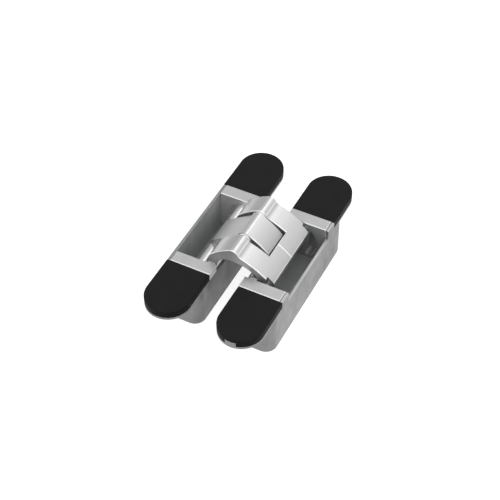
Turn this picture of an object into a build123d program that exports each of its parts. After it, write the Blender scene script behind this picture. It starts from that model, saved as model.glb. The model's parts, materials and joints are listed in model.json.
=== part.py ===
from build123d import *
import os
from math import acos, asin, atan2, cos, degrees, hypot, radians, sin, sqrt

# Concealed door hinge, laid open at 180 degrees: two housings joined by two crossed arms.
# X runs across the halves, Y along them and Z up from the bottoms of the housings. Millimetres.

# Half of the hinge, across
body_width = 24.0
body_gap = 16.0
wall = 1.4
corner_radius = 6.0

# Half of the hinge, along, from the arms outwards to the tip
arm_width = 42.8
side_gap = 1.77
bar_length = 7.0
rear_length = 10.0
end_gap = 0.2
bar_end_gap = 0.3
end_wall = 1.6
flange_length = 20.2

# Heights, as drops below the face of the hinge
floor_thickness = 3.1
floor_clearance = 0.6
cover_height = 4.2
cover_top = 1.2
cover_skirt = 1.2
cover_round = 0.5
cover_fit = 0.15
boss_drop = 2.5
flange_thickness = 1.3
low_rim_drop = 6.3
high_rim_drop = 0.5
rim_clearance = 0.4

# Pivots and slides
pivot_inset = 3.5
pivot_drop = 3.0
knuckle_radius = 2.8
barrel_radius = 3.5
arm_clearance = 0.5
slide_angle = 30.0
closed_gap = 4.0
closed_reach = 3.4
pivot_pin_radius = 2.0
cross_pin_radius = 2.0
slider_pin_radius = 1.75
bush_radius = 2.5
bush_flange_radius = 3.3
bush_flange_space = 0.7
pin_depth = 5.5
slot_end_gap = 0.6
toe_width = 5.6
toe_height = 2.4
toe_depth = 3.0
running_clearance = 0.05
fixed_clearance = 0.01
face_clearance = 0.12

# Arms
crest_radius = 3.7
collar_radius = 3.3
arch_drop = 3.8
arch_half = 1.0
leg_corner_out = 0.8
leg_corner_up = 7.6
leg_heel_out = 2.9
leg_heel_up = 2.4
leg_ease = 10.0
leg_arch_bow = 2.3
plate_root_out = 5.2
plate_root_up = 0.1
saddle_radius = 4.1
plate_end_out = 4.6
plate_end_up = 4.8
plate_bow = 1.05
plate_thickness = 3.6
under_bow = 2.1
nose_bow = 0.9
tongue_width = 15.2
tongue_gap = 1.7
window_end_inset = 2.9
tongue_corner_out = 1.85
tongue_corner_up = 6.3
tongue_ease = 14.0
tongue_heel_out = 1.25
tongue_heel_up = 5.45
tongue_heel_round = 3.0
tongue_under_bow = 1.6
nose_step = 1.7
nose_step_inset = 1.3
bush_pocket = 0.6
cross_pin_inset = 3.4
edge_chamfer = 0.3
arm_chamfer = 0.4
touch = 0.001

# Fastenings under the covers
clamp_head_radius = 3.5
clamp_head_height = 2.0
clamp_shank_radius = 2.5
clamp_thread_depth = 2.1
cam_head_radius = 3.5
cam_head_height = 1.6
cam_shaft_radius = 2.8
cam_pin_radius = 1.4
cam_offset = 0.8
cam_pin_depth = 1.6
socket_radius = 1.7
socket_depth = 1.2
screw_spacing = 10.4
fixing_hole_radius = 2.4
fixing_head_radius = 4.2
fixing_tip_inset = 6.2
fixing_spacing = 8.7
notch_width = 6.0
notch_top = 1.6
tab_length = 1.7

# Stations along the length
arm_half = arm_width / 2
bar_start = arm_half + side_gap
bar_end = bar_start + bar_length
block_end = bar_end + rear_length
pocket_end = block_end + end_gap
box_end = pocket_end + end_wall
tip = box_end + flange_length
half_width = body_width / 2
body_centre = body_gap / 2 + half_width
inner_half = half_width - wall
tongue_half = tongue_width / 2
window_half = tongue_half + tongue_gap
nose_half = arm_half - nose_step
tongue_barrel_half = bar_start - bush_flange_space


def turned(vector, angle):
    """A plane vector turned by an angle in degrees."""
    c = cos(radians(angle))
    s = sin(radians(angle))
    return (vector[0] * c - vector[1] * s, vector[0] * s + vector[1] * c)


def shifted(point, vector):
    """A plane point moved by a vector."""
    return (point[0] + vector[0], point[1] + vector[1])


def between(start, end):
    """The plane vector from one point to another."""
    return (end[0] - start[0], end[1] - start[1])


def angle_of(vector):
    """Direction of a plane vector in degrees."""
    return degrees(atan2(vector[1], vector[0]))


# Linkage in the frame of the left housing: X from its middle towards the gap, Z from its face.
# The cross pin swings about the pivot; shut, it lies midway between the faces by the outer wall.
pivot = (half_width - pivot_inset, -pivot_drop)
shut_cross = (closed_reach - inner_half, closed_gap / 2)
arm_reach = hypot(*between(pivot, shut_cross))
open_cross_x = body_centre
open_cross = (open_cross_x, pivot[1] + sqrt(arm_reach ** 2 - (open_cross_x - pivot[0]) ** 2))
slide_reach = knuckle_radius + barrel_radius + arm_clearance
open_slider = shifted(pivot, turned((-slide_reach, 0), slide_angle))
arm_sweep = angle_of(between(pivot, shut_cross)) - angle_of(between(pivot, open_cross))


def slider_at(share):
    """Where the slider stands when the hinge has closed by a share of its half turn."""
    arm_turn = share * arm_sweep
    cross_now = shifted(pivot, turned(between(pivot, open_cross), arm_turn))
    other_turn = share * (180 - arm_sweep)
    return shifted(cross_now, turned(between(open_cross, open_slider), other_turn))


# Depths follow from the lowest place of the slider
floor_drop = barrel_radius + floor_clearance - slider_at(1)[1]
face = floor_drop + floor_thickness


def level(drop):
    """Height of a plane that lies a drop below the face."""
    return face - drop


ledge = level(cover_height)
floor_top = level(floor_drop)
inner_rim_drop = pivot_drop + sqrt((knuckle_radius + rim_clearance) ** 2 - (pivot_inset - wall) ** 2)

# Axes in the hinge's own frame, as X and Z
left_pivot = (pivot[0] - body_centre, face + pivot[1])
right_pivot = (-left_pivot[0], left_pivot[1])
cross = (0, face + open_cross[1])
left_slider = (open_slider[0] - body_centre, face + open_slider[1])
right_slider = (-left_slider[0], left_slider[1])


def polar(centre, radius, angle):
    """A plane point at a radius and an angle in degrees from a centre."""
    return shifted(centre, turned((radius, 0), angle))


def bowed(start, end, rise):
    """An arc that stands off its chord by a rise, to the left of its travel when positive."""
    chord = between(start, end)
    length = hypot(*chord)
    middle = (
        (start[0] + end[0]) / 2 - chord[1] / length * rise,
        (start[1] + end[1]) / 2 + chord[0] / length * rise,
    )
    return ThreePointArc(start, middle, end)


def circle_of(start, end, rise):
    """Centre and radius of the circle of an arc that stands off its chord by a rise to the left."""
    chord = between(start, end)
    length = hypot(*chord)
    radius = (length ** 2 / 4 + rise ** 2) / (2 * rise)
    middle = shifted(start, (chord[0] / 2, chord[1] / 2))
    drop = (radius - rise) / length
    return shifted(middle, (chord[1] * drop, -chord[0] * drop)), radius


def disc(centre, radius):
    """A round face at a plane point."""
    return Pos(*centre) * Circle(radius)


def prism(profile, y_from, y_to):
    """A profile in X and Z, extruded between two stations along Y."""
    return Plane.XZ.offset(-y_to) * extrude(profile, y_to - y_from)


def rod(centre, radius, y_from, y_to):
    """A round bar along Y through a point in X and Z."""
    return prism(disc(centre, radius), y_from, y_to)


def slab(x_from, x_to, y_from, y_to, z_from, z_to):
    """A box given by its limits."""
    middle = Pos((x_from + x_to) / 2, (y_from + y_to) / 2, (z_from + z_to) / 2)
    return middle * Box(x_to - x_from, y_to - y_from, z_to - z_from)


def post(x, y, radius, z_from, z_to):
    """An upright round bar."""
    return Pos(x, y, z_from) * extrude(Circle(radius), z_to - z_from)


def end_outline(y_from, inset):
    """Plan of one rounded end of the hinge from a station to the tip, drawn in by an inset."""
    radius = half_width - inset
    centre_y = tip - half_width
    straight = Pos(0, (y_from + centre_y) / 2) * Rectangle(2 * radius, centre_y - y_from)
    return straight + Pos(0, centre_y) * Circle(radius)


def edges_through(solid, outline_points, y):
    """Edges of a solid that pass through points in X and Z at a station along Y."""
    places = [Vertex(x, y, z) for x, z in outline_points]
    return [edge for edge in solid.edges() if any(edge.distance_to(place) < touch for place in places)]


def both_ends(end):
    """A piece at the far end together with its mirror image at the near end."""
    return end + mirror(end, about=Plane.XZ)


fixing_places = [tip - fixing_tip_inset - step * fixing_spacing for step in range(2)]
screw_y = (bar_end + cover_skirt + block_end) / 2
clamp_x = -screw_spacing / 2
cam_x = screw_spacing / 2


def make_housing(with_low_rim, with_tabs):
    """Cast housing of the right half about its own middle: box, pocket, rims and flanges."""
    box_plan = RectangleRounded(body_width, 2 * box_end, corner_radius)
    pocket_plan = RectangleRounded(2 * inner_half, 2 * pocket_end, corner_radius - wall)
    casting = extrude(box_plan, ledge)
    flange = Pos(0, 0, ledge - flange_thickness) * extrude(end_outline(bar_end, 0), flange_thickness)
    boss_plan = end_outline(pocket_end, cover_skirt + cover_fit)
    boss = Pos(0, 0, ledge) * extrude(boss_plan, level(boss_drop) - ledge)
    casting += both_ends(flange + boss)
    if with_tabs:
        tab_width = notch_width - 2 * cover_fit
        tab_plan = end_outline(tip - half_width, 0) & Pos(0, tip) * Rectangle(tab_width, 2 * tab_length)
        casting += both_ends(Pos(0, 0, ledge) * extrude(tab_plan, level(notch_top + cover_fit) - ledge))
    casting += slab(inner_half, half_width, -bar_end, bar_end, ledge, level(high_rim_drop))
    casting -= Pos(0, 0, floor_top) * extrude(pocket_plan, face)
    if with_low_rim:
        casting -= slab(0, half_width, -bar_start, bar_start, level(low_rim_drop), face)
    casting -= slab(-half_width, 0, -bar_start, bar_start, level(inner_rim_drop), face)
    for y in fixing_places:
        hole = post(0, y, fixing_hole_radius, 0, face)
        sink_depth = fixing_head_radius - fixing_hole_radius
        sink_middle = Pos(0, y, level(boss_drop) - sink_depth / 2)
        hole += sink_middle * Cone(fixing_hole_radius, fixing_head_radius, sink_depth)
        casting -= both_ends(hole)
    clamp_seat_radius = clamp_shank_radius + fixed_clearance
    threads = post(clamp_x, screw_y, clamp_seat_radius, floor_top - clamp_thread_depth, face)
    cam_seat_radius = cam_pin_radius + fixed_clearance
    threads += post(cam_x + cam_offset, screw_y, cam_seat_radius, floor_top - cam_pin_depth, face)
    return casting - both_ends(threads)


def slot_edge(share, turn):
    """A point of the slot's edge: a bush's reach from the slider, at an angle from its travel."""
    travel = between(slider_at(share - touch), slider_at(share + touch))
    heading = angle_of(travel)
    place = polar(slider_at(share), bush_radius + running_clearance, heading + turn)
    return (-place[0], face + place[1])


def slot_profile():
    """Curved slot of the right half that the slider bush runs in, about the housing's middle."""
    left_hand = 90
    right_hand = -90
    ahead = 0
    behind = 180

    # At first the track bends more tightly than the bush, so the edge inside the bend starts later,
    # where it leaves the round start of the slot.
    start = (-open_slider[0], face + open_slider[1])
    bend_start = 0
    bend_end = 1
    for _ in range(30):
        share = (bend_start + bend_end) / 2
        if hypot(*between(start, slot_edge(share, left_hand))) < bush_radius + running_clearance:
            bend_start = share
        else:
            bend_end = share
    steps = 12
    shares = [step / steps for step in range(steps + 1)]
    outer = [slot_edge(share, right_hand) for share in shares]
    inner = [slot_edge(bend_end + share * (1 - bend_end), left_hand) for share in shares]
    edges = [Spline(*outer), Spline(*inner)]
    edges.append(ThreePointArc(outer[-1], slot_edge(1, ahead), inner[-1]))
    edges.append(ThreePointArc(inner[0], slot_edge(0, behind), outer[0]))
    return make_face(edges)


def make_end_block():
    """End block of the right half at the far end: bar, stem, ear round the pivot and slot."""
    pivot_axis = (-pivot[0], face + pivot[1])
    hole_end = bar_start + pin_depth
    bar = slab(-half_width, inner_half - bar_end_gap, bar_start, bar_end, ledge, face)
    top_edges = bar.faces().sort_by(Axis.Z)[-1].edges()
    bar = chamfer(top_edges, edge_chamfer)
    stem_plan = RectangleRounded(2 * inner_half - end_gap, 2 * block_end, corner_radius - wall)
    stem_plan -= Rectangle(body_width, 2 * bar_start)
    stem_plan &= Pos(0, block_end) * Rectangle(body_width, 2 * block_end)
    block = bar + Pos(0, 0, floor_top) * extrude(stem_plan, ledge - floor_top)
    block += rod(pivot_axis, knuckle_radius, arm_half + face_clearance, bar_start)
    block -= rod(pivot_axis, pivot_pin_radius + fixed_clearance, arm_half, hole_end + slot_end_gap)
    block -= prism(slot_profile(), bar_start, hole_end + slot_end_gap)

    # Its outer corner stands clear of the floor beside the slot.
    toe_start = inner_half - toe_width
    toe_end = bar_start + toe_depth
    block -= slab(toe_start, half_width, bar_start, toe_end, floor_top, floor_top + toe_height)
    block -= post(clamp_x, screw_y, clamp_shank_radius + fixed_clearance, 0, face)
    block -= post(cam_x, screw_y, cam_shaft_radius + fixed_clearance, 0, face)
    return block


def make_cover(with_notch):
    """Plastic cap over the far end of the right half, open below."""
    start = bar_end + cover_fit
    cap = Pos(0, 0, ledge) * extrude(end_outline(start, 0), cover_height)
    cap = fillet(cap.faces().sort_by(Axis.Z)[-1].edges(), cover_round)
    hollow = end_outline(start + cover_skirt, cover_skirt)
    cap -= Pos(0, 0, ledge) * extrude(hollow, cover_height - cover_top)
    if with_notch:
        half = notch_width / 2
        cap -= slab(-half, half, tip - half_width, tip, ledge, level(notch_top))
    return cap


def socket_at(x, top):
    """Hexagon socket in the head of a fastening at a place across the right half."""
    hexagon = RegularPolygon(socket_radius, 6)
    return Pos(x, screw_y, top - socket_depth) * extrude(hexagon, socket_depth)


def make_clamp_screw():
    """Screw that holds an end block of the right half to the floor of its pocket."""
    top = ledge + clamp_head_height
    screw = post(clamp_x, screw_y, clamp_shank_radius, floor_top - clamp_thread_depth, ledge)
    screw += post(clamp_x, screw_y, clamp_head_radius, ledge, top)
    screw = chamfer(screw.faces().sort_by(Axis.Z)[-1].edges(), edge_chamfer)
    return screw - socket_at(clamp_x, top)


def make_adjusting_cam():
    """Cam that sets an end block of the right half, with an offset pin in the floor."""
    top = ledge + cam_head_height
    cam = post(cam_x, screw_y, cam_shaft_radius, floor_top, ledge)
    cam += post(cam_x, screw_y, cam_head_radius, ledge, top)
    cam = chamfer(cam.faces().sort_by(Axis.Z)[-1].edges(), edge_chamfer)
    cam += post(cam_x + cam_offset, screw_y, cam_pin_radius, floor_top - cam_pin_depth, floor_top)
    return cam - socket_at(cam_x, top)


def crest_slope(corner):
    """Slope in degrees of the straight line from an arm's corner that just touches the crest."""
    rise = cross[1] - corner[1]
    run = abs(cross[0] - corner[0])
    return degrees(atan2(rise, run) + asin(crest_radius / hypot(rise, run)))


def plane_point(curve, share):
    """The plane point at a share of a curve's length."""
    place = curve @ share
    return (place.X, place.Y)


def make_outer_arm_half():
    """Far half of the outer arm: leg and knuckle at the left, crest, plate and barrel at the right."""
    leg_corner = shifted(left_pivot, (-leg_corner_out, leg_corner_up))
    crest_turn = 90 + crest_slope(leg_corner) - leg_ease
    crest_left = polar(cross, crest_radius, crest_turn)
    leg_heel = shifted(left_pivot, (-leg_heel_out, leg_heel_up))
    knuckle_out = polar(left_pivot, knuckle_radius, 200)
    knuckle_in = polar(left_pivot, knuckle_radius, 10)
    arch = shifted(cross, (-arch_half, -arch_drop))
    plate_end = shifted(right_slider, (plate_end_out, plate_end_up))
    barrel_top = polar(right_slider, barrel_radius, 120)
    barrel_side = polar(right_slider, barrel_radius, -10)
    under_end = shifted(barrel_top, (-arch_half / 2, plate_thickness / 2))
    plate_root = shifted(cross, (plate_root_out, plate_root_up))

    # A hollow saddle touches both the crest and the circle of the plate.
    plate_centre, plate_radius = circle_of(plate_root, plate_end, plate_bow)
    to_crest = crest_radius + saddle_radius
    to_plate = plate_radius + saddle_radius
    to_centre = hypot(*between(cross, plate_centre))
    opening = degrees(acos((to_crest ** 2 + to_centre ** 2 - to_plate ** 2) / (2 * to_crest * to_centre)))
    saddle_turn = angle_of(between(cross, plate_centre)) + opening
    plate_turn = angle_of(between(plate_centre, polar(cross, to_crest, saddle_turn)))
    crest_right = polar(cross, crest_radius, saddle_turn)
    plate_start = polar(plate_centre, plate_radius, plate_turn)
    leg_top = TangentArc(crest_left, leg_corner, tangent=turned((1, 0), crest_turn + 90))
    saddle = TangentArc(crest_right, plate_start, tangent=turned((1, 0), saddle_turn - 90))
    plate_top = TangentArc(plate_start, plate_end, tangent=turned((1, 0), plate_turn - 90))
    outline = [
        leg_top,
        Line(leg_corner, leg_heel),
        Line(leg_heel, knuckle_out),
        Line(knuckle_out, knuckle_in),
        bowed(knuckle_in, arch, leg_arch_bow),
        bowed(arch, under_end, under_bow),
        Line(under_end, barrel_top),
        Line(barrel_top, barrel_side),
        bowed(barrel_side, plate_end, -nose_bow),
        plate_top,
        saddle,
        Line(crest_right, cross),
        Line(cross, crest_left),
    ]
    barrel = disc(right_slider, barrel_radius)
    profile = make_face(outline) + disc(left_pivot, knuckle_radius) + disc(cross, crest_radius) + barrel

    # The window for the tongue ends in a bridge; the side is cut back round the bush.
    beyond = 4 * body_width
    window_end = right_slider[0] - window_end_inset
    bridge = profile & Pos(window_end + beyond / 2, face) * Rectangle(beyond, beyond)
    step_x = right_slider[0] + nose_step_inset
    side = profile - Pos(step_x + beyond / 2, face) * Rectangle(beyond, beyond)
    side -= disc(right_slider, barrel_radius + bush_pocket)
    half = prism(profile, window_half, nose_half) + prism(side, nose_half, arm_half)
    half += prism(bridge + barrel, 0, window_half)

    # Broken edges along the crown on both sides, round the window and at the seam
    crown = [plane_point(leg_top, 0.5), polar(cross, crest_radius, 80), plane_point(saddle, 0.5)]
    broken = edges_through(half, crown + [plane_point(plate_top, 0.4)], arm_half)
    broken += edges_through(half, crown + [plane_point(plate_top, 0.25)], window_half)
    broken += edges_through(half, [plane_point(plate_top, 0.8)], 0)
    across = half.edges().filter_by(Axis.Y)
    across = across.filter_by_position(Axis.X, window_end - touch, window_end + touch)
    broken.append(across.sort_by(Axis.Z)[-1])
    half = chamfer(broken, arm_chamfer)
    half -= rod(left_pivot, pivot_pin_radius + running_clearance, 0, arm_half)
    half -= rod(cross, cross_pin_radius + fixed_clearance, 0, arm_half - cross_pin_inset)
    return half - rod(right_slider, slider_pin_radius + fixed_clearance, 0, arm_half)


def make_tongue_arm():
    """Tongue arm: a narrow bent plate with a full-width barrel at the left and knuckle at the right."""
    corner = shifted(right_pivot, (tongue_corner_out, tongue_corner_up))
    crest_turn = 90 - crest_slope(corner) + tongue_ease
    crest_right = polar(cross, crest_radius, crest_turn)
    knuckle_out = polar(right_pivot, knuckle_radius, 10)
    knuckle_in = polar(right_pivot, knuckle_radius, 170)
    arch = shifted(cross, (arch_half, -arch_drop))
    barrel_in = polar(left_slider, barrel_radius, 70)
    heel_reach = (-tongue_heel_out, tongue_heel_up)
    heel = shifted(left_slider, heel_reach)
    heel_opening = degrees(acos(barrel_radius / hypot(*heel_reach)))
    barrel_out = polar(left_slider, barrel_radius, angle_of(heel_reach) + heel_opening)
    plate_start = polar(cross, crest_radius, 170)
    outline = [
        TangentArc(crest_right, corner, tangent=turned((1, 0), crest_turn - 90)),
        Line(corner, knuckle_out),
        Line(knuckle_out, knuckle_in),
        bowed(knuckle_in, arch, -leg_arch_bow),
        bowed(arch, barrel_in, -tongue_under_bow),
        Line(barrel_in, barrel_out),
        Line(barrel_out, heel),
        Line(heel, plate_start),
        Line(plate_start, cross),
        Line(cross, crest_right),
    ]
    barrel = disc(left_slider, barrel_radius)
    knuckle = disc(right_pivot, knuckle_radius)
    profile = make_face(outline) + disc(cross, crest_radius) + barrel + knuckle
    profile = chamfer(profile.vertices().sort_by_distance((*corner, 0))[0], arm_chamfer)
    profile = fillet(profile.vertices().sort_by_distance((*heel, 0))[0], tongue_heel_round)
    collar_half = window_half - face_clearance
    tongue = prism(profile, -tongue_half, tongue_half)
    tongue += prism(barrel, -tongue_barrel_half, tongue_barrel_half) + prism(knuckle, -arm_half, arm_half)
    tongue += rod(cross, collar_radius, -collar_half, collar_half)
    tongue -= rod(right_pivot, pivot_pin_radius + running_clearance, -arm_half, arm_half)
    tongue -= rod(cross, cross_pin_radius + running_clearance, -arm_half, arm_half)
    return tongue - rod(left_slider, slider_pin_radius + fixed_clearance, -bar_start, bar_start)


def make_pin(axis, radius, half_length):
    """Round pin along Y with chamfered ends."""
    pin = rod(axis, radius, -half_length, half_length)
    ends = pin.edges().filter_by(GeomType.CIRCLE)
    return chamfer(ends, edge_chamfer)


def make_bush(axis, barrel_half):
    """Flanged bush on the far end of a slider pin: flange by the arm, sleeve in the slot."""
    sleeve_end = bar_start + pin_depth
    bush = rod(axis, bush_radius, barrel_half + running_clearance, sleeve_end)
    bush += rod(axis, bush_flange_radius, barrel_half + running_clearance, bar_start - face_clearance)
    return bush - rod(axis, slider_pin_radius + fixed_clearance, barrel_half, sleeve_end)


def placed(piece, side, end):
    """A piece of the right half's far end, put in its place by side and end."""
    piece = Pos(body_centre, 0, 0) * piece
    if side == "left":
        piece = mirror(piece, about=Plane.YZ)
    if end == "near":
        piece = mirror(piece, about=Plane.XZ)
    return piece


pieces = {}
housings = {"left": make_housing(False, False), "right": make_housing(True, True)}
end_block = make_end_block()
clamp_screw = make_clamp_screw()
adjusting_cam = make_adjusting_cam()
covers = {"left": make_cover(False), "right": make_cover(True)}
pivots = {"left": left_pivot, "right": right_pivot}
sliders = {"left": left_slider, "right": right_slider}
barrel_halves = {"left": tongue_barrel_half, "right": nose_half}
pin_half = bar_start + pin_depth

for side in ("left", "right"):
    pieces[f"{side}_housing"] = placed(housings[side], side, "far")
    pieces[f"{side}_pivot_pin"] = make_pin(pivots[side], pivot_pin_radius, pin_half)
    pieces[f"{side}_slider_pin"] = make_pin(sliders[side], slider_pin_radius, pin_half)
    bush = make_bush(sliders[side], barrel_halves[side])
    for end in ("near", "far"):
        pieces[f"{side}_{end}_end_block"] = placed(end_block, side, end)
        pieces[f"{side}_{end}_cover"] = placed(covers[side], side, end)
        pieces[f"{side}_{end}_clamp_screw"] = placed(clamp_screw, side, end)
        pieces[f"{side}_{end}_adjusting_cam"] = placed(adjusting_cam, side, end)
        pieces[f"{side}_{end}_slider_bush"] = bush if end == "far" else mirror(bush, about=Plane.XZ)

arm_half_solid = make_outer_arm_half()
pieces["far_outer_arm"] = arm_half_solid
pieces["near_outer_arm"] = mirror(arm_half_solid, about=Plane.XZ)
pieces["tongue_arm"] = make_tongue_arm()
pieces["cross_pin"] = make_pin(cross, cross_pin_radius, arm_half - cross_pin_inset)

os.makedirs("parts", exist_ok=True)
for name, shape in pieces.items():
    export_step(shape, f"parts/{name}.step")

print(f"half: {2 * tip:.2f} x {body_width:.2f} x {face:.2f}")
print(f"pivots at x {right_pivot[0]:.4f}, z {right_pivot[1]:.4f}; cross pin at z {cross[1]:.4f}")
print(f"sliders at x {right_slider[0]:.4f}, z {right_slider[1]:.4f}; arm sweep {arm_sweep:.4f} degrees")
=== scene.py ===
import json
import math

import bmesh
import bpy
from mathutils import Matrix, Vector

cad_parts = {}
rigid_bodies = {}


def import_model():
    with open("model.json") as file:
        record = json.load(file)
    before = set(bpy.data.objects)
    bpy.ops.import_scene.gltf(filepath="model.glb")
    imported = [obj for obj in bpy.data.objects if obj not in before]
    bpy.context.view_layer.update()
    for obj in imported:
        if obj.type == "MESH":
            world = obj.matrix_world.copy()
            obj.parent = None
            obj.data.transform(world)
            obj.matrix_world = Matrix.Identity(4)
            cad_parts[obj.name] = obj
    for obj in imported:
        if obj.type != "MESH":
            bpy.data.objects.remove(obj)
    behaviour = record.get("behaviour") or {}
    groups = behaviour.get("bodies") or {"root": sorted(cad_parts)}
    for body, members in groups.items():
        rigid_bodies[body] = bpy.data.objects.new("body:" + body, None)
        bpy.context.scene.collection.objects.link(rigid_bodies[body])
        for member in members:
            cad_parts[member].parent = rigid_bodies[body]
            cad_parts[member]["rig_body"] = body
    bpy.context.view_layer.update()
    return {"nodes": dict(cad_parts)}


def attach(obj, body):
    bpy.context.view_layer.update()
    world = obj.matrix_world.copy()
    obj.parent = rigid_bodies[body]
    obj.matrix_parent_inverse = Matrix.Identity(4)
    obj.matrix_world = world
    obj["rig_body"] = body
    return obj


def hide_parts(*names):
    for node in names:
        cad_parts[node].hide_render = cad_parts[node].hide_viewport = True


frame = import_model()

# Lengths are in metres and angles in degrees.
MM = 0.001

# Where the parts of the hinge lie
FACE = 27.554 * MM
BODY_CENTRE = 20.0 * MM
POCKET_FLOOR = 3.0 * MM
POCKET_HALF = 10.7 * MM
POCKET_END = 40.5 * MM
POCKET_INWARD = 1.0 * MM
LOW_RIM = 18.0 * MM
BLOCK_START = 23.4 * MM
SLOT_END = 29.5 * MM
SLOT_TOP = 24.0 * MM
SLOT_REACH = 9.0 * MM
WINDOW_START = 10.0 * MM
TONGUE_SIDE = 7.6 * MM
TONGUE_HALF = 8.0 * MM
TONGUE_START = 3.5 * MM
TONGUE_LOW = 30.0 * MM
COLLAR_START = 8.1 * MM
COLLAR_END = 9.1 * MM
CREST = 35.0 * MM

# How far a face has to look one way to be told apart: parts of its normal
STRAIGHT = 0.9
SIDEWAYS = 0.95
TILTED = 0.4
UPWARD = 0.5
TIP_AHEAD = 0.75
TIP_UPWARD = (0.3, 0.66)
WINDOW_BACK = -0.1

# How far edges are rounded or broken, and which ones
HOUSING_ROUND = 0.2 * MM
BLOCK_ROUND = 0.12 * MM
COVER_ROUND = 0.12 * MM
ARM_ROUND = 0.14 * MM
TONGUE_ROUND = 0.1 * MM
TONGUE_CHAMFER = 0.4 * MM
FLAT_ANGLE = 0.3
ROUND_ANGLE = 28
SMOOTH_ANGLE = 34
CORNER_ANGLE = 60
MERGE = 1e-6
NEAR = 0.05 * MM
SLIVER = 0.02 * MM * MM

# The range that most of a noise lies in, and stretches of it along x, y and z
NOISE_LOW = 0.3
NOISE_HIGH = 0.7
EVEN = (1, 1, 1)
CLOUDY = (1, 0.8, 0.6)
STREAKY = (1, 1, 0.3)
TURNED = (1, 12, 1)

# Lights of the surround: a direction, the cosines to it at which the light begins and is full, and
# its strength before and after
GLOWS = (
    ((0.0, 0.0, 1.0), -0.1, 0.85, 0.5, 0.86),
    ((0.42, 0.613, 0.67), 0.8, 1.0, 0.0, 0.32),
    ((1.0, 0.0, 0.0), 0.3, 0.9, 0.0, 0.12),
    ((0.1, -0.5, 0.86), 0.6, 0.95, 0.0, 0.2),
    ((0.15, -0.78, 0.607), 0.72, 0.93, 0.0, 0.8),
    ((0.2, 0.613, 0.765), 0.93, 0.995, 0.0, 0.32),
    ((0.04, 0.613, 0.789), 0.975, 0.996, 0.0, 1.1),
)


# Materials


def new_material(name):
    """A material, its tree and its shader."""
    material = bpy.data.materials.new(name)
    material.use_nodes = True
    tree = material.node_tree
    tree.nodes.clear()
    output = tree.nodes.new("ShaderNodeOutputMaterial")
    shader = tree.nodes.new("ShaderNodeBsdfPrincipled")
    tree.links.new(shader.outputs["BSDF"], output.inputs["Surface"])
    return material, tree, shader


def placed(tree, stretch):
    """The place in the object's own space, stretched along x, y and z."""
    place = tree.nodes.new("ShaderNodeTexCoord")
    mapping = tree.nodes.new("ShaderNodeMapping")
    mapping.inputs["Scale"].default_value = stretch
    tree.links.new(place.outputs["Object"], mapping.inputs["Vector"])
    return mapping.outputs["Vector"]


def ranged(tree, value, old, new, smooth=False):
    """A value carried from one range to another, and held to it."""
    node = tree.nodes.new("ShaderNodeMapRange")
    if smooth:
        node.interpolation_type = "SMOOTHSTEP"
    for key, (low, high) in (("From", old), ("To", new)):
        node.inputs[f"{key} Min"].default_value = low
        node.inputs[f"{key} Max"].default_value = high
    tree.links.new(value, node.inputs["Value"])
    return node.outputs["Result"]


def noise(tree, scale, stretch=EVEN, detail=3.0):
    """Noise in the object's own space; scale is in features per metre."""
    texture = tree.nodes.new("ShaderNodeTexNoise")
    texture.inputs["Scale"].default_value = scale
    texture.inputs["Detail"].default_value = detail
    tree.links.new(placed(tree, stretch), texture.inputs["Vector"])
    return texture.outputs["Fac"]


def spread(tree, value, span):
    """A noise value stretched over a range."""
    return ranged(tree, value, (NOISE_LOW, NOISE_HIGH), span)


def shaded(tree, value, dark, light):
    """A colour between two others, by a noise value."""
    ramp = tree.nodes.new("ShaderNodeValToRGB")
    stops = ((NOISE_LOW, dark), (NOISE_HIGH, light))
    for stop, (position, colour) in zip(ramp.color_ramp.elements, stops):
        stop.position = position
        stop.color = (*colour, 1)
    tree.links.new(value, ramp.inputs["Fac"])
    return ramp.outputs["Color"]


def faded(tree, stretch, reach, values):
    """A value that goes smoothly from one to another between two distances from the middle."""
    distance = tree.nodes.new("ShaderNodeVectorMath")
    distance.operation = "LENGTH"
    tree.links.new(placed(tree, stretch), distance.inputs[0])
    return ranged(tree, distance.outputs["Value"], reach, values, smooth=True)


def bumped(tree, shader, value, strength, height):
    """Relief of a height on a shader."""
    bump = tree.nodes.new("ShaderNodeBump")
    bump.inputs["Strength"].default_value = strength
    bump.inputs["Distance"].default_value = height
    tree.links.new(value, bump.inputs["Height"])
    tree.links.new(bump.outputs["Normal"], shader.inputs["Normal"])


def metal(name, dark, light, rough, blotch, grain, stretch=EVEN, relief=0.02 * MM, sheen=1.0):
    """Metal with a blotchy colour, streaks of roughness and fine relief; dull at a low sheen."""
    material, tree, shader = new_material(name)
    shader.inputs["Metallic"].default_value = sheen
    patches = noise(tree, blotch, stretch, detail=4.0)
    tree.links.new(shaded(tree, patches, dark, light), shader.inputs["Base Color"])
    streaks = noise(tree, blotch * 2.3, stretch)
    tree.links.new(spread(tree, streaks, rough), shader.inputs["Roughness"])
    bumped(tree, shader, noise(tree, grain, detail=2.0), strength=0.25, height=relief)
    return material


def painted_middle_shade(material, stretch, reach, keep):
    """Paints shade into a metal's colour: darker smoothly towards the middle of the hinge, to a
    share of its colour.
    """
    tree = material.node_tree
    shader = next(node for node in tree.nodes if node.type == "BSDF_PRINCIPLED")
    colour = shader.inputs["Base Color"]
    scaled = tree.nodes.new("ShaderNodeVectorMath")
    scaled.operation = "SCALE"
    tree.links.new(colour.links[0].from_socket, scaled.inputs[0])
    tree.links.new(faded(tree, stretch, reach, (keep, 1.0)), scaled.inputs["Scale"])
    tree.links.new(scaled.outputs["Vector"], colour)


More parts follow.
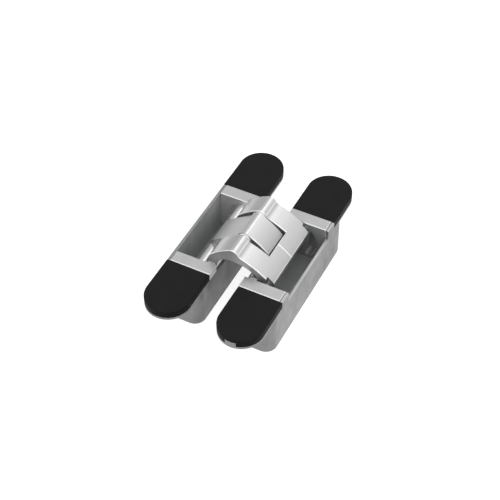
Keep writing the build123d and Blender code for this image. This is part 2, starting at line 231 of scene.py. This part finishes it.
def plastic(name, dark, light, rough, gloss):
    """Matte moulded plastic with a fine spark-eroded grain."""
    material, tree, shader = new_material(name)
    shader.inputs["Specular IOR Level"].default_value = gloss
    patches = noise(tree, scale=160.0, detail=4.0)
    tree.links.new(shaded(tree, patches, dark, light), shader.inputs["Base Color"])
    tree.links.new(spread(tree, noise(tree, scale=420.0), rough), shader.inputs["Roughness"])
    grain = noise(tree, scale=4200.0, detail=2.0)
    bumped(tree, shader, grain, strength=0.3, height=0.02 * MM)
    return material


housing_cast = metal(
    "housing_cast",
    dark=(0.155, 0.155, 0.16),
    light=(0.255, 0.255, 0.26),
    rough=(0.32, 0.46),
    blotch=85.0,
    grain=5200.0,
    stretch=CLOUDY,
    sheen=0.6,
)
# painted shade: the housings darken towards the gap between the two halves, where shade falls
painted_middle_shade(housing_cast, stretch=(2.2, 0.9, 0), reach=(0.018, 0.048), keep=0.36)
# painted highlight: lighter copies of the cast for the tops of the housing walls, the right
# housing's much lighter than the left's
high_rim_painted_highlight = metal(
    "high_rim_painted_highlight",
    dark=(0.3, 0.3, 0.304),
    light=(0.38, 0.38, 0.384),
    rough=(0.34, 0.44),
    blotch=110.0,
    grain=5200.0,
    stretch=CLOUDY,
    sheen=0.5,
)
low_rim_painted_highlight = metal(
    "low_rim_painted_highlight",
    dark=(0.57, 0.57, 0.576),
    light=(0.65, 0.65, 0.656),
    rough=(0.34, 0.44),
    blotch=110.0,
    grain=5200.0,
    stretch=CLOUDY,
    sheen=0.5,
)
# painted light: a lighter, less metallic copy of the cast that lifts the shade inside the pockets,
# slightly cool
pocket_painted_light = metal(
    "pocket_painted_light",
    dark=(0.44, 0.45, 0.455),
    light=(0.55, 0.56, 0.565),
    rough=(0.4, 0.5),
    blotch=110.0,
    grain=5200.0,
    stretch=STREAKY,
    sheen=0.25,
)
# painted highlight: a near-white copy of the cast for the rounded edges of the housings
housing_painted_edge_highlight = metal(
    "housing_painted_edge_highlight",
    dark=(0.86, 0.86, 0.86),
    light=(0.93, 0.93, 0.93),
    rough=(0.24, 0.32),
    blotch=200.0,
    grain=5200.0,
    relief=0.01 * MM,
    sheen=0.4,
)
block_cast = metal(
    "block_cast",
    dark=(0.6, 0.6, 0.6),
    light=(0.66, 0.66, 0.66),
    rough=(0.32, 0.4),
    blotch=150.0,
    grain=5600.0,
    sheen=0.6,
)
# painted highlight: a near-white copy for the rounded and broken edges of the end blocks
block_painted_edge_highlight = metal(
    "block_painted_edge_highlight",
    dark=(0.94, 0.94, 0.94),
    light=(0.98, 0.98, 0.98),
    rough=(0.2, 0.28),
    blotch=200.0,
    grain=5600.0,
    relief=0.005 * MM,
    sheen=0.4,
)
# painted shade: a darker copy of the block cast for the fronts of the right end blocks
block_front_painted_shade = metal(
    "block_front_painted_shade",
    dark=(0.38, 0.385, 0.385),
    light=(0.41, 0.415, 0.415),
    rough=(0.36, 0.44),
    blotch=150.0,
    grain=5600.0,
    sheen=0.6,
)
# painted light: a pale, nearly matt copy for the slots of the left end blocks, lifting the shade
# in them
slot_painted_light = metal(
    "slot_painted_light",
    dark=(0.84, 0.84, 0.84),
    light=(0.9, 0.9, 0.9),
    rough=(0.42, 0.5),
    blotch=150.0,
    grain=5600.0,
    relief=0.01 * MM,
    sheen=0.1,
)
# painted shade: a darker copy for the slots of the right end blocks
slot_painted_shade = metal(
    "slot_painted_shade",
    dark=(0.31, 0.312, 0.312),
    light=(0.34, 0.342, 0.342),
    rough=(0.42, 0.5),
    blotch=150.0,
    grain=5600.0,
    relief=0.01 * MM,
    sheen=0.1,
)
arm_nickel = metal(
    "arm_nickel",
    dark=(0.71, 0.71, 0.708),
    light=(0.735, 0.735, 0.732),
    rough=(0.28, 0.32),
    blotch=70.0,
    grain=6400.0,
    relief=0.003 * MM,
)
# painted shade: a darker copy of the nickel for the arms' faces that look along the pins
arm_side_painted_shade = metal(
    "arm_side_painted_shade",
    dark=(0.28, 0.28, 0.28),
    light=(0.345, 0.345, 0.343),
    rough=(0.34, 0.42),
    blotch=130.0,
    grain=6000.0,
    relief=0.01 * MM,
    sheen=0.7,
)
# painted highlight: a near-white copy of the nickel for the rounded edges, chamfers and collars of
# the arms
arm_painted_edge_highlight = metal(
    "arm_painted_edge_highlight",
    dark=(0.95, 0.95, 0.945),
    light=(0.98, 0.98, 0.975),
    rough=(0.18, 0.25),
    blotch=200.0,
    grain=6400.0,
    relief=0.005 * MM,
    sheen=0.4,
)
pin_steel = metal(
    "pin_steel",
    dark=(0.52, 0.52, 0.53),
    light=(0.6, 0.6, 0.61),
    rough=(0.16, 0.24),
    blotch=500.0,
    grain=7000.0,
    stretch=TURNED,
)
# painted reflection: a light bluish tint on the polished bushes
bush_steel = metal(
    "bush_steel",
    dark=(0.82, 0.88, 0.93),
    light=(0.88, 0.93, 0.97),
    rough=(0.14, 0.2),
    blotch=400.0,
    grain=7000.0,
    relief=0.003 * MM,
)
screw_steel = metal(
    "screw_steel",
    dark=(0.45, 0.45, 0.46),
    light=(0.55, 0.55, 0.55),
    rough=(0.26, 0.36),
    blotch=400.0,
    grain=7000.0,
)
cover_plastic = plastic(
    "cover_plastic",
    dark=(0.0118, 0.0118, 0.012),
    light=(0.0138, 0.0138, 0.014),
    rough=(0.5, 0.6),
    gloss=0.13,
)
# painted shade: a darker copy of the cover plastic for the upright skirts
cover_side_painted_shade = plastic(
    "cover_side_painted_shade",
    dark=(0.003, 0.003, 0.0031),
    light=(0.0045, 0.0045, 0.0047),
    rough=(0.5, 0.6),
    gloss=0.06,
)
# painted shade: a darker copy of the cover plastic for the rounded edges, keeping them from
# catching light
cover_edge_painted_shade = plastic(
    "cover_edge_painted_shade",
    dark=(0.008, 0.008, 0.0082),
    light=(0.0095, 0.0095, 0.0097),
    rough=(0.42, 0.5),
    gloss=0.13,
)


# Pieces: the castings, arms and covers with their edges rounded off


def in_pocket(face):
    """Whether a face of a housing lines its pocket."""
    centre = face.calc_center_median()
    across = centre.x - math.copysign(BODY_CENTRE, centre.x)
    within = abs(across) < POCKET_HALF and abs(centre.y) < POCKET_END
    outward = across * face.normal.x + centre.y * face.normal.y
    return within and centre.z > POCKET_FLOOR and outward < POCKET_INWARD


def on_rim(face):
    """Whether a face of a housing is the top of a wall."""
    return face.normal.z > STRAIGHT and face.calc_center_median().z > LOW_RIM


def on_side(face):
    """Whether a face of an arm looks along the axes of the pins."""
    return abs(face.normal.y) > SIDEWAYS


def on_chamfer(face):
    """Whether a face of an arm is a broken edge of its crown, the tongue's end or the window's."""
    ahead, sideways, up = face.normal
    tongue_end = ahead > TIP_AHEAD and TIP_UPWARD[0] < up < TIP_UPWARD[1]
    past_start = face.calc_center_median().x > WINDOW_START
    window_end = past_start and ahead < WINDOW_BACK and up > UPWARD
    return TILTED < abs(sideways) < SIDEWAYS or tongue_end or window_end


def on_collar(face):
    """Whether a face of the tongue is on a collar beside its hub."""
    centre = face.calc_center_median()
    return COLLAR_START < abs(centre.y) < COLLAR_END and centre.z > CREST


def in_slot(face):
    """Whether a face of an end block lies inside its slot."""
    centre = face.calc_center_median()
    across = abs(abs(centre.x) - BODY_CENTRE)
    within = across < SLOT_REACH and BLOCK_START < abs(centre.y) < SLOT_END
    return within and centre.z < SLOT_TOP


def on_front(face):
    """Whether a face of an end block looks along the pocket, under the bar."""
    return abs(face.normal.y) > STRAIGHT and face.calc_center_median().z < SLOT_TOP


def on_slope(face):
    """Whether a face of an end block is a broken edge of its bar."""
    return UPWARD < face.normal.z < STRAIGHT


def on_skirt(face):
    """Whether a face of a cover is upright."""
    return abs(face.normal.z) < UPWARD


def sharp_edges(work, angle):
    """Edges of a mesh that turn by more than an angle, slivers apart."""
    return [
        edge
        for edge in work.edges
        if len(edge.link_faces) == 2
        and edge.calc_face_angle() > math.radians(angle)
        and min(face.calc_area() for face in edge.link_faces) > SLIVER
    ]


def bevelled(work, edges, width, segments, clamp=True):
    """Breaks edges by a width; the new faces get the second material."""
    bmesh.ops.bevel(
        work,
        geom=edges,
        offset=width,
        offset_type="OFFSET",
        segments=segments,
        profile=0.5,
        affect="EDGES",
        clamp_overlap=clamp,
        material=1,
    )


def broadened(work):
    """Brings the sides of the tongue out to its full width and breaks their upper edges."""
    for vert in work.verts:
        if abs(abs(vert.co.y) - TONGUE_SIDE) < NEAR:
            vert.co.y = math.copysign(TONGUE_HALF, vert.co.y)
    work.normal_update()
    outline = [
        edge
        for edge in sharp_edges(work, CORNER_ANGLE)
        if all(abs(abs(vert.co.y) - TONGUE_HALF) < NEAR for vert in edge.verts)
        and all(vert.co.x > TONGUE_START and vert.co.z > TONGUE_LOW for vert in edge.verts)
    ]
    bevelled(work, outline, TONGUE_CHAMFER, segments=1, clamp=False)


def softened(name, width, base, edge, others, reshape=None):
    """Stands for a CAD node with its sharp edges rounded by a width.

    The others are pairs of a test and a material: a face that passes the test gets the material.
    """
    node = frame["nodes"][name]
    work = bmesh.new()
    work.from_mesh(node.data)
    bmesh.ops.remove_doubles(work, verts=work.verts, dist=MERGE)
    bmesh.ops.dissolve_degenerate(work, dist=MERGE, edges=work.edges)
    bmesh.ops.dissolve_limit(
        work, angle_limit=math.radians(FLAT_ANGLE), verts=work.verts, edges=work.edges
    )
    if reshape:
        reshape(work)
    bevelled(work, sharp_edges(work, ROUND_ANGLE), width, segments=2)
    for face in work.faces:
        face.smooth = True
        for index, (test, _) in enumerate(others, start=2):
            if face.material_index == 0 and test(face):
                face.material_index = index
    mesh = bpy.data.meshes.new(name + "_soft")
    work.to_mesh(mesh)
    work.free()
    mesh.set_sharp_from_angle(angle=math.radians(SMOOTH_ANGLE))
    for material in (base, edge, *(other for _, other in others)):
        mesh.materials.append(material)
    piece = bpy.data.objects.new(name + "_soft", mesh)
    bpy.context.scene.collection.objects.link(piece)
    weighted = piece.modifiers.new("weighted", "WEIGHTED_NORMAL")
    weighted.keep_sharp = True
    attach(piece, node["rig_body"])
    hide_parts(name)


# painted highlight on the wall tops, stronger on the right housing
rims = {"left": high_rim_painted_highlight, "right": low_rim_painted_highlight}
block_others = {
    # left blocks: painted highlight on the bar edges, painted light in the slots
    "left": ((on_slope, block_painted_edge_highlight), (in_slot, slot_painted_light)),
    # right blocks: painted highlight on the bar edges, painted shade in the slots and on the
    # fronts
    "right": ((on_slope, block_painted_edge_highlight), (in_slot, slot_painted_shade), (on_front, block_front_painted_shade)),
}
# painted shade on the covers' skirts
cover_others = ((on_skirt, cover_side_painted_shade),)
for side in ("left", "right"):
    # painted light inside the pockets, painted highlight on the wall tops
    housing_others = ((in_pocket, pocket_painted_light), (on_rim, rims[side]))
    # the rounded edges of the housings get a painted highlight
    softened(f"{side}_housing", HOUSING_ROUND, housing_cast, housing_painted_edge_highlight, housing_others)
    for end in ("near", "far"):
        block = f"{side}_{end}_end_block"
        # the rounded edges of the end blocks get a painted highlight
        softened(block, BLOCK_ROUND, block_cast, block_painted_edge_highlight, block_others[side])
        cover = f"{side}_{end}_cover"
        # the rounded edges of the covers get painted shade
        softened(cover, COVER_ROUND, cover_plastic, cover_edge_painted_shade, cover_others)
# painted shade on the arms' sides, painted highlight on their chamfers and collars
arm_others = ((on_side, arm_side_painted_shade), (on_chamfer, arm_painted_edge_highlight), (on_collar, arm_painted_edge_highlight))
for arm in ("near_outer_arm", "far_outer_arm"):
    # the rounded edges of the arms and the tongue get a painted highlight
    softened(arm, ARM_ROUND, arm_nickel, arm_painted_edge_highlight, arm_others)
softened("tongue_arm", TONGUE_ROUND, arm_nickel, arm_painted_edge_highlight, arm_others, broadened)

kept = {
    "pivot_pin": pin_steel,
    "slider_pin": pin_steel,
    "cross_pin": pin_steel,
    # painted reflection on the bushes
    "slider_bush": bush_steel,
    "clamp_screw": screw_steel,
    "adjusting_cam": screw_steel,
}
for name, node in frame["nodes"].items():
    for ending, material in kept.items():
        if name.endswith(ending):
            for slot in node.material_slots:
                slot.material = material


# Floor, light and camera


def stage_floor():
    """A plain pale floor under the object, with a glow that fades outwards."""
    mesh = bpy.data.meshes.new("floor")
    reach = 1.5
    corners = [(-reach, -reach, 0), (reach, -reach, 0), (reach, reach, 0), (-reach, reach, 0)]
    mesh.from_pydata(corners, [], [(0, 1, 2, 3)])
    material, tree, shader = new_material("floor")
    shader.inputs["Base Color"].default_value = (0.6, 0.6, 0.6, 1)
    shader.inputs["Roughness"].default_value = 0.9
    shader.inputs["Specular IOR Level"].default_value = 0.0
    shader.inputs["Emission Color"].default_value = (1, 1, 1, 1)
    glow = faded(tree, EVEN, reach=(0.16, 0.45), values=(0.8, 0.05))
    tree.links.new(glow, shader.inputs["Emission Strength"])
    mesh.materials.append(material)
    floor = bpy.data.objects.new("floor", mesh)
    bpy.context.scene.collection.objects.link(floor)


def studio_world():
    """A soft surround: dim at the horizon, with broad glows and one narrow light behind."""
    world = bpy.data.worlds.new("studio")
    bpy.context.scene.world = world
    world.use_nodes = True
    tree = world.node_tree
    tree.nodes.clear()
    output = tree.nodes.new("ShaderNodeOutputWorld")
    background = tree.nodes.new("ShaderNodeBackground")
    place = tree.nodes.new("ShaderNodeTexCoord")
    total = None
    for towards, begins, full, before, after in GLOWS:
        aligned = tree.nodes.new("ShaderNodeVectorMath")
        aligned.operation = "DOT_PRODUCT"
        aligned.inputs[1].default_value = towards
        tree.links.new(place.outputs["Generated"], aligned.inputs[0])
        cosine = aligned.outputs["Value"]
        glow = ranged(tree, cosine, (begins, full), (before, after), smooth=True)
        if total is None:
            total = glow
        else:
            joined = tree.nodes.new("ShaderNodeMath")
            tree.links.new(total, joined.inputs[0])
            tree.links.new(glow, joined.inputs[1])
            total = joined.outputs["Value"]
    tree.links.new(total, background.inputs["Strength"])
    tree.links.new(background.outputs["Background"], output.inputs["Surface"])


def aim_camera():
    """The camera fitted to the photograph."""
    azimuth = math.radians(27.383)
    elevation = math.radians(46.328)
    roll = math.radians(-0.442)
    distance = 634.709 * MM
    right = Vector((math.cos(azimuth), math.sin(azimuth), 0))
    forward = Vector(
        (
            -math.sin(azimuth) * math.cos(elevation),
            math.cos(azimuth) * math.cos(elevation),
            -math.sin(elevation),
        )
    )
    up = right.cross(forward)
    x_axis = right * math.cos(roll) + up * math.sin(roll)
    y_axis = up * math.cos(roll) - right * math.sin(roll)
    turn = Matrix((x_axis, y_axis, -forward)).transposed().to_4x4()
    place = Matrix.Translation(Vector((0, 0, FACE)) - forward * distance)
    data = bpy.data.cameras.new("camera")
    data.sensor_width = 36
    data.lens = 90.554
    data.shift_x = -0.0039
    data.shift_y = -0.0194
    data.clip_start = 0.01
    camera = bpy.data.objects.new("camera", data)
    camera.matrix_world = place @ turn
    bpy.context.scene.collection.objects.link(camera)
    bpy.context.scene.camera = camera


stage_floor()
studio_world()
aim_camera()
bpy.context.scene.view_settings.view_transform = "Standard"
